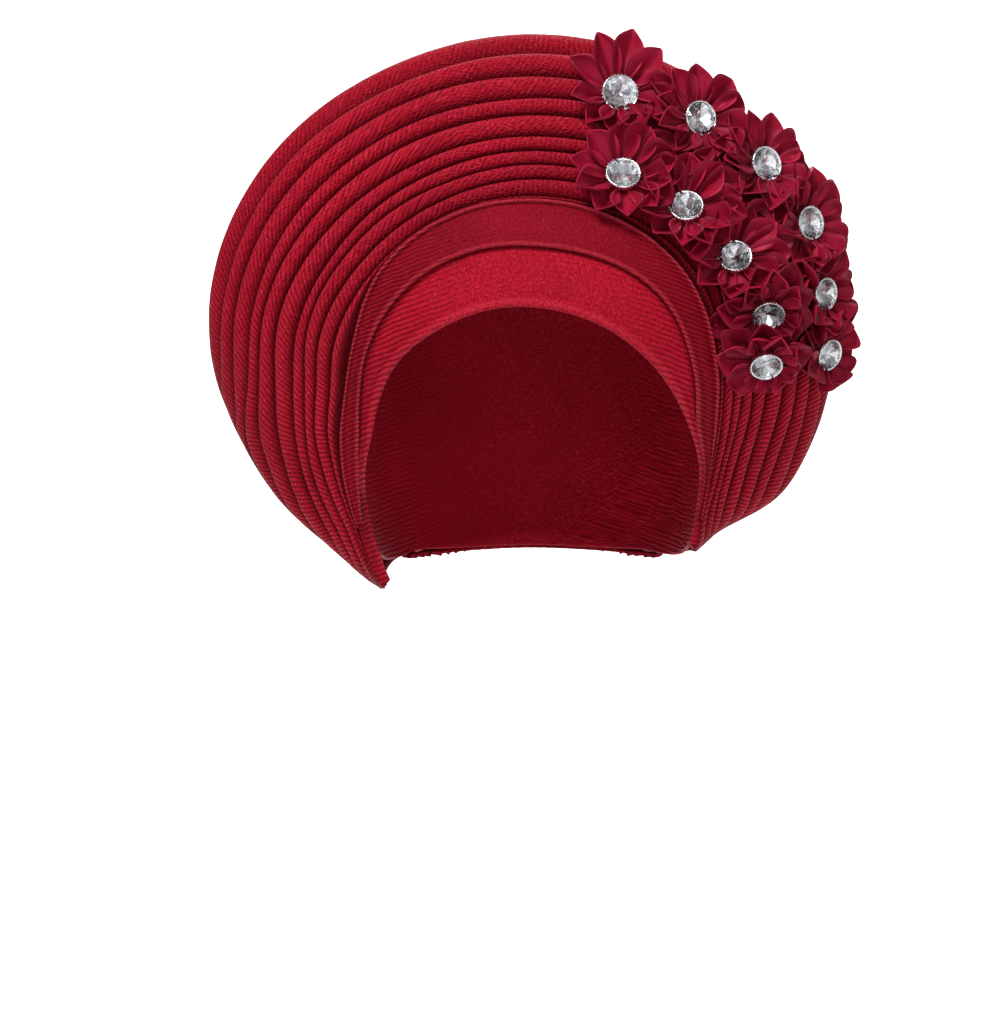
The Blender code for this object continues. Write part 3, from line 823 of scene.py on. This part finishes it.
def fold_weave(angles, points, fold_of):
    """Ribs that lean across each fold, each fold a little differently, and how clearly they
    show, which is half as clearly at the back."""
    table = np.array(LEAN, float)
    lean = np.interp(angles, table[:, 0], table[:, 1])[:, None]
    show = np.interp(angles, table[:, 0], table[:, 2])[:, None]
    across = run_length(points.swapaxes(0, 1)).T
    inner = np.zeros((len(points), points.shape[1] - 1))
    outer = np.zeros_like(inner)
    for fold in np.unique(fold_of):
        rows = np.flatnonzero(fold_of == fold)
        middle = rows[int(len(rows) * 0.6)] if fold <= FOLDS else rows[len(rows) // 3]
        strips = np.clip(rows - 1, 0, None)
        own = lean + 0.4 * math.sin(fold * 2.4)
        spread = np.sqrt(1 + own**2)
        moves = np.diff(run_length(points[:, middle:middle + 1]), axis=0) / spread[1:]
        length = np.concatenate([np.zeros((1, 1)), np.cumsum(moves, axis=0)])
        own = own / spread
        inner[:, strips] = length + own * (across[:, strips] - across[:, middle:middle + 1])
        outer[:, strips] = length + own * (across[:, strips + 1] - across[:, middle:middle + 1])
    return (inner, outer, across), show * np.where(fold_of > FOLDS, 0.5, 1.0)


def arched_weave(points):
    """Ribs that arch over the opening and fall to both sides, and how clearly they show."""
    x = points[..., 0] - sizes().opening_shift
    along = points[..., 2] + 0.38 * np.sqrt(x**2 + 0.02**2)
    across = run_length(points.swapaxes(0, 1)).T
    side = np.clip((np.abs(x) - 0.025) / 0.035, 0.12, 1.0)
    return (along[:, :-1], along[:, 1:], x + 0.2 * across), side


class GELE_OT_crown(Operator):
    """Lay the woven cloth in folds round the opening and gather it at the nape"""
    bl_idname = "gele.crown"
    bl_label = "Pleated crown"

    def execute(self, context):
        finish = woven_cloth("head_cloth", 1.0, sizes().rib_pitch)
        angles, points, fold_of, edge, crease = fan_grid(CROWN_COLUMNS, BACK_ROWS)
        weave, show = fold_weave(angles, points, fold_of)
        marks = {"painted_edge_highlight": edge, "crease": crease, "rib_show": show}
        crown = cloth_sheet("pleated_crown", points, weave, marks, sizes().cloth, finish)
        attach(crown, "root")
        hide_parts("pleated_fan")
        return {"FINISHED"}


class GELE_OT_cap(Operator):
    """Make the close cap and its rolled brow edge"""
    bl_idname = "gele.cap"
    bl_label = "Cap and brow band"

    def execute(self, context):
        s = sizes()
        # The brow band is painted a little lighter, as painted light on cloth that faces forwards.
        finish = woven_cloth("brow_cloth", 1.05, s.band_pitch * 1.2, 0.65)
        angles, shares = section_angles(CAP_COLUMNS)
        rows = section_rows(angles)
        low, top, low_y, _ = band_edges(rows)
        drop = math.degrees(math.asin(s.nape_drop / s.cap_lower))
        fall = math.degrees(math.asin(s.nape_drop * 1.08 / s.cap_lower))
        turn = np.radians(-drop + (180 + fall + drop) * shares)
        side = np.stack([np.cos(turn), np.zeros_like(turn), np.sin(turn)], -1)
        end = unit(nape_directions(shares))
        brow = cap_points(cap_edges(angles, rows["brow"] * s.arch_radius))
        hidden = np.minimum(CAP_TUCK, 0.6 * np.maximum(top - low, 0.0))
        tuck = polar_points(angles, low + hidden, low_y + 0.75 * hidden)
        way = tuck - brow
        length = np.linalg.norm(way, axis=-1, keepdims=True)
        proud = unit(np.cross(way, ways_around(angles)))
        proud = proud * np.sign(-proud[:, 1:2])
        roll = ROLL_WIDTH * np.minimum(1.0, length / (2.4 * ROLL_WIDTH))
        grid = [brow + unit(way) * roll * across + proud * roll * lift
                for across, lift, _ in ROLL]
        bright = [edge for _, _, edge in ROLL]
        shade = [np.zeros(len(angles)) for _ in ROLL]

        # The brow band, up to where it runs under the upper band, with a painted shadow below the
        # upper band's edge.
        done = ROLL[-1][0] * roll / length
        for j in range(1, BROW_ROWS + 1):
            t = done + (1 - done) * j / BROW_ROWS
            grid.append(brow + way * t + proud * 0.0006 * np.sin(math.pi * t))
            bright.append(0.0)
            radius = (rows["brow"] * (1 - t[:, 0]) + rows["low"] * t[:, 0]) * s.arch_radius
            under = (radius + hidden * t[:, 0] - low) / 0.0020 + 1.0
            shade.append(np.clip(under, 0, 1) * hidden / CAP_TUCK)

        # The rest of the cap, over the crown to the nape hem, painted a little darker as shade.
        arms = tuck - cap_centre()
        shape = arms / half_sizes(arms[..., 2])
        reach = np.linalg.norm(arms, axis=-1)
        spare = reach - reach / cap_level(shape)
        for j in range(1, FRONT_ROWS + 1):
            t = j / FRONT_ROWS
            grid.append(cap_points(slerp(unit(shape), side, t), spare * (1 - t) ** 2))
            bright.append(0.0)
            shade.append(np.full(len(angles), 0.3))
        for j in range(1, CROWN_ROWS + 1):
            grid.append(cap_points(slerp(side, end, j / CROWN_ROWS)))
            bright.append(0.0)
            shade.append(np.full(len(angles), 0.3))
        points = np.stack(grid, 1)
        weave, show = arched_weave(points)
        show[:, -(FRONT_ROWS + CROWN_ROWS):] *= 0.45
        marks = {"painted_edge_highlight": np.array(bright), "crease": np.stack(shade, 1), "rib_show": show}
        cap = cloth_sheet("close_cap", points, weave, marks, s.cloth, finish)
        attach(cap, "root")
        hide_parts("base_cap")
        return {"FINISHED"}


class GELE_OT_band(Operator):
    """Lay the crescent band over the brow, with a rolled lower edge and a turned top edge"""
    bl_idname = "gele.band"
    bl_label = "Upper band"

    def execute(self, context):
        s = sizes()
        # The crescent band is painted darker, as painted shade on cloth that faces downwards.
        finish = woven_cloth("band_cloth", 0.60, s.band_pitch, 0.5)
        angles = np.linspace(*BAND_ANGLES, BAND_POINTS)
        low, top, low_y, top_y = band_edges(section_rows(angles))
        width = np.maximum(top - low, BAND_LEAST)
        top = low + width
        size = np.clip(width / BAND_FULL, 0.15, 1.0)
        grid = [polar_points(angles, low + r * size, low_y + y * size) for r, y, _ in BAND_LOWER]
        bright = [edge for _, _, edge in BAND_LOWER]
        inner, outer = BAND_LOWER[-1][0] * size, 0.0020 * size
        for j in range(1, BAND_ROWS):
            t = j / BAND_ROWS
            r = low + inner + (width - inner - outer) * t
            y = low_y + (top_y - low_y) * (r - low) / width
            swell = 0.0009 * math.sin(math.pi * t) * size
            grid.append(polar_points(angles, r, y - swell + 0.0001 * waves(angles, j, 30)))
            bright.append(0.0)
        for r, y, edge in BAND_TOP:
            grid.append(polar_points(angles, top + r * size, top_y + y * size))
            bright.append(edge)
        points = np.stack(grid, 1)
        weave, show = arched_weave(points)
        # Painted shade on the hidden back of the rolled lower edge.
        hollow = np.zeros(len(bright))
        hollow[0] = 0.9
        marks = {"painted_edge_highlight": np.array(bright) * 1.6, "crease": hollow, "rib_show": show}
        band = cloth_sheet("crescent_band", points, weave, marks, BAND_CLOTH, finish)
        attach(band, "root")
        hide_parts("upper_band")
        return {"FINISHED"}


def node_points(node):
    """The corners of a CAD node's surface, at rest."""
    piece = bpy.data.objects[node]
    world = np.array(piece.matrix_world)
    corners = np.array([v.co[:] for v in piece.data.vertices])
    return corners @ world[:3, :3].T + world[:3, 3]


def flower_row(number):
    """A flower's row of the table, by the columns' names."""
    return dict(zip(FLOWER_COLUMNS, FLOWERS[number - 1]))


def flower_frame(number, stone=False):
    """Where a flower or its stone stands: its base, with Z out along its own axis."""
    row = flower_row(number)
    turn, tip = row["turn"], row["tip"]
    if stone:
        turn += row["aside"]
        tip += row["raised"]
    aside = Matrix.Rotation(math.radians(turn), 4, "Z")
    raised = Matrix.Rotation(math.radians(-tip), 4, "X")
    face = Matrix.Rotation(math.radians(90), 4, "X")
    spin = Matrix.Rotation(math.radians(row["spin"]), 4, "Z")
    stand = aside @ raised @ face @ spin
    axis = np.array((stand.to_3x3() @ Vector((0, 0, 1)))[:])
    corners = node_points("setting_%02d" % number)
    middle = corners.mean(axis=0)
    base = (corners @ axis).min() - 0.0003
    middle = middle + axis * (base - middle @ axis)
    return Matrix.Translation(Vector(middle)) @ stand


def petal_points(seed, length, width, inner, rise, bend, cup, twist):
    """One folded petal as a grid: gathered base, hollow middle and pointed tip. inner: where it
    starts from the flower's axis. rise, bend: its slope at the base and at the tip. cup: how
    hollow it is. twist: how far it turns about its own length."""
    rows, columns = PETAL_ROWS, PETAL_COLUMNS
    points = np.zeros((columns, rows, 3))
    edge, crease = np.zeros((columns, rows)), np.zeros((columns, rows))
    u = np.linspace(-1, 1, columns)
    r, z = inner, 0.0
    step = length / (rows - 1)
    for j in range(rows):
        v = j / (rows - 1)
        if v < PETAL_WIDEST:
            half = width / 2 * (0.24 + 0.76 * math.sin(math.pi / 2 * v / PETAL_WIDEST) ** 0.8)
        else:
            past = (v - PETAL_WIDEST) / (1 - PETAL_WIDEST)
            half = width / 2 * (1 - past ** 1.8) ** 0.85
        half = max(half, width * 0.03)
        angle = rise * min(1.0, v / 0.25) + (bend - rise) * max(0.0, (v - 0.25) / 0.75) ** 1.3
        if j:
            r += step * math.cos(angle)
            z += step * math.sin(angle)
        bowl = cup * half * np.abs(u) ** 1.6 * (0.55 + 0.65 * v)
        groove = 0.34 * half * np.exp(-(u / 0.20) ** 2) * max(0.0, 1 - v / 0.8) ** 0.7
        curl = 0.22 * half * np.clip((np.abs(u) - 0.7) / 0.3, 0, 1) * math.sin(3 * v + 6 * seed)
        wave = 0.08 * half * np.sin(4 * u + seed * 6.28 + 5 * v)
        lift = bowl - groove + curl + wave
        points[:, j, 0] = r - bowl * math.sin(angle) * 0.6
        points[:, j, 1] = half * u * (1 - 0.18 * cup * np.abs(u))
        points[:, j, 2] = z + lift * math.cos(angle)
        # A painted highlight along the sides and tip; painted shade at the base, along the middle
        # fold and on the one side where the petals overlap.
        edge[:, j] = np.clip((np.abs(u) - 0.72) / 0.28, 0, 1) * min(1.0, v * 3)
        middle = np.exp(-(u / 0.16) ** 2) * max(0.0, 1 - v / 0.7)
        crease[:, j] = np.maximum(middle, np.clip(1 - v / 0.30, 0, 1))
        crease[:, j] = np.maximum(crease[:, j], 0.85 * np.clip(u, 0, 1) ** 3 * (1 - 0.35 * v))
    edge[:, -2:] = 1.0
    lean = math.tan(twist) * np.clip(points[..., 0] / 0.010 - 0.75, 0, 1)
    points[..., 2] += points[..., 1] * lean
    return points, edge, crease


def petals_of(number, stand, frames):
    """One flower's petals as grids of points with their painted edge highlights and painted shade.
    They are longer or shorter by the table, keep within the room up to the next flowers and curl
    up where it is tight. Between crowded flowers a second layer lies under them, painted darker as
    shade and with less painted highlight."""
    s = sizes()
    row = flower_row(number)
    rng = random.Random(500 + number)
    others = [f.translation - stand.translation for f in frames if f is not stand]
    count = row["petals"]
    for k in range(2 * count):
        under = k >= count
        shift = 0.5 if under else rng.uniform(-0.14, 0.14)
        turn = 2 * math.pi * (k + shift) / count
        way = stand.to_3x3() @ Vector((math.cos(turn), math.sin(turn), 0))
        room = s.flower / 2
        for arm in others:
            toward = way.dot(arm.normalized())
            if toward > 0.1:
                room = min(room, arm.length / 2 / toward)
        crowd = min(1.0, max(0.0, 1 - (room - 0.013) / (s.flower / 2 - 0.013)))
        far = stand.translation + way * s.flower * 0.6
        near = sum((f.translation - far).length < s.flower * 0.8 for f in frames
                   if f is not stand)
        if under and near < 2 and crowd < 0.3:
            continue
        longer = row["up"] * max(0.0, way.z) + row["right"] * max(0.0, way.x)
        longer -= row["down"] * max(0.0, -way.z)
        length = min(s.flower / 2 * (rng.uniform(*PETAL_LENGTHS) + longer), room * 1.2)
        width = s.flower * rng.uniform(*PETAL_WIDTHS)
        rise = math.radians(rng.uniform(4, 9) + (7 if k % 2 else 0))
        bend = math.radians(rng.uniform(22, 40) + 40 * crowd)
        bend *= 1 - 0.5 * max(0.0, way.x) * min(1.0, abs(row["turn"]) / 40)
        cup, shade = rng.uniform(0.55, 0.9) + 0.25 * crowd, 0.0
        if under:
            length = min(s.flower / 2 * (1.1 - 0.2 * crowd + longer), room * 1.3)
            rise, bend = math.radians(3), math.radians(rng.uniform(10, 24) + 20 * crowd)
            # The under layer is painted darker, as shade.
            cup, shade = 0.5, 0.55
        points, edge, crease = petal_points(rng.random(), length, width, s.setting * 0.33, rise,
                                            bend, cup, math.radians(rng.uniform(10, 26)))
        cosine, sine = math.cos(turn), math.sin(turn)
        x, y = points[..., 0].copy(), points[..., 1].copy()
        points[..., 0] = x * cosine - y * sine
        points[..., 1] = x * sine + y * cosine
        points[..., 2] += 0.0 if under else 0.0005 + 0.0004 * (k % 3)
        yield k, points, edge * (1 - shade), np.maximum(crease, shade)


def ribbon_flower(name, petals, finish):
    """A flower from its petals' grids, as sheets of ribbon."""
    verts, faces, uvs, edges, creases = [], [], [], [], []
    for k, points, edge, crease in petals:
        start = len(verts)
        verts += points.reshape(-1, 3).tolist()
        edges += edge.reshape(-1).tolist()
        creases += crease.reshape(-1).tolist()
        for i in range(PETAL_COLUMNS - 1):
            for j in range(PETAL_ROWS - 1):
                a = start + i * PETAL_ROWS + j
                quad = (a, a + PETAL_ROWS, a + PETAL_ROWS + 1, a + 1)
                faces.append(quad)
                for corner in quad:
                    column, row = divmod(corner - start, PETAL_ROWS)
                    uvs.append((column / PETAL_COLUMNS * 0.013,
                                row / PETAL_ROWS * 0.019 + k * 0.1))
    mesh = bpy.data.meshes.new(name)
    mesh.from_pydata(verts, [], faces)
    layer = mesh.uv_layers.new(name="weave")
    layer.data.foreach_set("uv", np.array(uvs, np.float32).reshape(-1))
    for mark, values in (("painted_edge_highlight", edges), ("crease", creases)):
        kept = mesh.attributes.new(mark, "FLOAT", "POINT")
        kept.data.foreach_set("value", np.array(values, np.float32))
    mesh.shade_smooth()
    return add_piece(mesh, finish)


class GELE_OT_flowers(Operator):
    """Fold the ribbon flowers petal by petal"""
    bl_idname = "gele.flowers"
    bl_label = "Ribbon flowers"

    def execute(self, context):
        finish = petal_satin()
        frames = [flower_frame(number) for number in range(1, len(FLOWERS) + 1)]
        for number, stand in enumerate(frames, 1):
            flower = ribbon_flower("ribbon_flower_%02d" % number,
                                   petals_of(number, stand, frames), finish)
            flower.matrix_world = stand
            ribbon = flower.modifiers.new("Ribbon", "SOLIDIFY")
            ribbon.thickness = sizes().ribbon
            ribbon.offset = 0
            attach(flower, "root")
            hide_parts("flower_%02d" % number)
        return {"FINISHED"}


def cut_stone(name, radius, crown, girdle, pavilion, glass, foil):
    """A brilliant cut: table, star and kite facets, a girdle, and a foiled pavilion."""
    mesh = bpy.data.meshes.new(name)
    bm = bmesh.new()

    def ring(share, height, shift=0.0, count=8):
        """Corners at a share of the radius and a height, turned by a share of a step."""
        turns = [2 * math.pi * (i + shift) / count for i in range(count)]
        return [bm.verts.new((radius * share * math.cos(turn), radius * share * math.sin(turn),
                              height)) for turn in turns]

    table = ring(0.56, crown + girdle)
    stars = ring(0.78, girdle + crown * 0.62, 0.5)
    rim = ring(1.0, girdle, 0.0, 16)
    under = ring(1.0, 0.0, 0.0, 16)
    deep = ring(0.52, -pavilion * 0.52, 0.5)
    point = bm.verts.new((0, 0, -pavilion))
    bm.faces.new(table)
    for i in range(8):
        j = (i + 1) % 8
        bm.faces.new((table[i], stars[i], table[j]))
        bm.faces.new((table[i], stars[i - 1], rim[2 * i], stars[i]))
        bm.faces.new((stars[i], rim[2 * i], rim[2 * i + 1]))
        bm.faces.new((stars[i], rim[2 * i + 1], rim[(2 * i + 2) % 16]))
        for a, b in ((2 * i, 2 * i + 1), (2 * i + 1, (2 * i + 2) % 16)):
            bm.faces.new((rim[a], under[a], under[b], rim[b]))
        bm.faces.new((deep[i], under[2 * i + 1], under[2 * i]))
        bm.faces.new((deep[i], under[(2 * i + 2) % 16], under[2 * i + 1]))
        bm.faces.new((deep[i - 1], deep[i], under[2 * i]))
        bm.faces.new((deep[i], deep[i - 1], point))
    bmesh.ops.recalc_face_normals(bm, faces=bm.faces)
    for face in bm.faces:
        face.material_index = 1 if face.calc_center_median().z < -1e-5 else 0
    bm.to_mesh(mesh)
    bm.free()
    return add_piece(mesh, glass, foil)


def rim_setting(name, outer, inner, height, finish):
    """A turned rim with a row of small grains round its lip."""
    profile = (
        (inner - 0.0010, 0.0003),
        (outer * 0.90, 0.0003),
        (outer * 0.97, height * 0.25),
        (outer, height * 0.60),
        (outer * 0.985, height * 0.80),
        (outer * 0.95, height * 0.93),
        (inner + 0.0004, height),
        (inner, height * 0.94),
        (inner - 0.0002, height * 0.70),
        (inner - 0.0010, height * 0.45),
    )
    mesh = bpy.data.meshes.new(name)
    bm = bmesh.new()
    turns = [2 * math.pi * i / RIM_POINTS for i in range(RIM_POINTS)]
    rings = [[bm.verts.new((r * math.cos(turn), r * math.sin(turn), z)) for turn in turns]
             for r, z in profile]
    for a, b in zip(rings, rings[1:] + rings[:1]):
        for i in range(RIM_POINTS):
            j = (i + 1) % RIM_POINTS
            bm.faces.new((a[i], a[j], b[j], b[i]))
    ring = outer * 0.965
    for i in range(RIM_GRAINS):
        turn = 2 * math.pi * i / RIM_GRAINS
        place = Matrix.Translation((ring * math.cos(turn), ring * math.sin(turn), height * 0.90))
        bmesh.ops.create_icosphere(bm, subdivisions=1, radius=outer * 0.040, matrix=place)
    bmesh.ops.recalc_face_normals(bm, faces=bm.faces)
    bm.to_mesh(mesh)
    bm.free()
    mesh.shade_smooth()
    return add_piece(mesh, finish)


class GELE_OT_stones(Operator):
    """Cut the stones and turn their rim settings"""
    bl_idname = "gele.stones"
    bl_label = "Stones and settings"

    def execute(self, context):
        s = sizes()
        silver = silver_metal("silver_rim", 0.14, 1400)
        foil = silver_metal("stone_foil", 0.16, 500)
        glass = clear_glass()
        for number in range(1, len(FLOWERS) + 1):
            stand = flower_frame(number, stone=True)
            stand = Matrix.Translation(stand.to_3x3() @ Vector((0, 0, STONE_LIFT))) @ stand
            size = flower_row(number)["size"]
            setting = rim_setting("rim_setting_%02d" % number, s.setting / 2 * size,
                                  s.stone / 2 * size, SETTING_HEIGHT, silver)
            setting.matrix_world = stand
            stone = cut_stone("cut_stone_%02d" % number, s.stone / 2 * size - 0.0001,
                              STONE_CROWN, STONE_GIRDLE, STONE_PAVILION, glass, foil)
            stone.matrix_world = stand @ Matrix.Translation((0, 0, SETTING_HEIGHT * 0.76))
            for piece, node in ((setting, "setting_%02d"), (stone, "stone_%02d")):
                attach(piece, "root")
                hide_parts(node % number)
        return {"FINISHED"}


def studio_floor():
    """Plain pale paint with a very faint mottle."""
    n = Nodes("studio_floor")
    grain = n.noise(n.solid(), 3, 2)
    pale = tuple(colours().floor)
    wear_and_highlight = tuple(v * 0.96 for v in pale)
    n.set(Base_Color=n.blend(n.steps(grain, 0.3, 0.7, 0.0, 0.04), pale, wear_and_highlight), Roughness=0.85)
    return n.material


def studio_sweep(floor_level):
    """The floor, bent up into a wall at the back."""
    profile = [(-6.0, 0.0), (BEND_START, 0.0)]
    profile += [(BEND_START + BEND_RADIUS * math.sin(a), BEND_RADIUS - BEND_RADIUS * math.cos(a))
                for a in np.linspace(0.1, math.pi / 2, 14)]
    profile += [(BEND_START + BEND_RADIUS, WALL_HEIGHT)]
    verts, faces = [], []
    for i, (y, z) in enumerate(profile):
        verts += [(-5.0, y, floor_level + z), (5.0, y, floor_level + z)]
        if i:
            faces.append((2 * i - 2, 2 * i - 1, 2 * i + 1, 2 * i))
    mesh = bpy.data.meshes.new("studio_sweep")
    mesh.from_pydata(verts, [], faces)
    mesh.shade_smooth()
    return add_piece(mesh, studio_floor())


class GELE_OT_stage(Operator):
    """Set up the pale studio, its soft lights and the camera"""
    bl_idname = "gele.stage"
    bl_label = "Studio stage"

    def execute(self, context):
        scene = context.scene
        scene.view_settings.view_transform = "Standard"
        middle = Vector(opening_centre())
        studio_sweep(opening_centre()[2] - FLOOR_DROP)
        world = bpy.data.worlds.new("studio_air")
        scene.world = world
        world.use_nodes = True
        air = world.node_tree.nodes["Background"]
        air.inputs["Color"].default_value = (*AIR_COLOUR, 1)
        air.inputs["Strength"].default_value = AIR_STRENGTH
        for name, place, target, width, power in LIGHTS:
            lamp = bpy.data.lights.new(name, "AREA")
            lamp.size = width
            lamp.energy = power
            light = bpy.data.objects.new(name, lamp)
            light.location = middle + Vector(place)
            aim = middle + Vector(target) - light.location
            light.rotation_euler = aim.to_track_quat("-Z", "Y").to_euler()
            scene.collection.objects.link(light)

        # The camera stands level, so that the opening's centre falls on its pixel.
        camera = bpy.data.objects.new("camera", bpy.data.cameras.new("camera"))
        seen = PHOTO_HEIGHT * METRES_PER_PIXEL
        camera.data.lens = camera.data.sensor_width * CAMERA_AWAY / seen
        camera.data.clip_end = 50
        across = (PHOTO_WIDTH / 2 - OPENING_COLUMN) * METRES_PER_PIXEL
        down = (PHOTO_HEIGHT / 2 - OPENING_ROW) * METRES_PER_PIXEL
        camera.location = middle + Vector((across, -CAMERA_AWAY, -down))
        camera.rotation_euler = (math.pi / 2, 0, 0)
        scene.collection.objects.link(camera)
        scene.camera = camera
        return {"FINISHED"}


class GELE_PT_panel(Panel):
    """Lists the head tie's pieces, sizes and colours"""
    bl_idname = "GELE_PT_panel"
    bl_label = "Gele head tie"
    bl_space_type = "VIEW_3D"
    bl_region_type = "UI"
    bl_category = "Gele"

    def draw(self, context):
        layout = self.layout
        for operator in OPERATORS:
            layout.operator(operator.bl_idname)
        for group in (context.scene.gele_sizes, context.scene.gele_colours):
            box = layout.box()
            for name in group.__annotations__:
                box.prop(group, name)


OPERATORS = (GELE_OT_cap, GELE_OT_band, GELE_OT_crown, GELE_OT_flowers, GELE_OT_stones,
             GELE_OT_stage)
CLASSES = (GeleSizes, GeleColours, *OPERATORS, GELE_PT_panel)


def register():
    """Register the classes and the scene's settings."""
    for made in CLASSES:
        bpy.utils.register_class(made)
    bpy.types.Scene.gele_sizes = PointerProperty(type=GeleSizes)
    bpy.types.Scene.gele_colours = PointerProperty(type=GeleColours)


def unregister():
    """Take the settings and the classes away again."""
    del bpy.types.Scene.gele_colours
    del bpy.types.Scene.gele_sizes
    for made in reversed(CLASSES):
        bpy.utils.unregister_class(made)


def main():
    """Build every piece and the stage."""
    register()
    bpy.ops.gele.cap()
    bpy.ops.gele.band()
    bpy.ops.gele.crown()
    bpy.ops.gele.flowers()
    bpy.ops.gele.stones()
    bpy.ops.gele.stage()


if __name__ == "__main__":
    main()
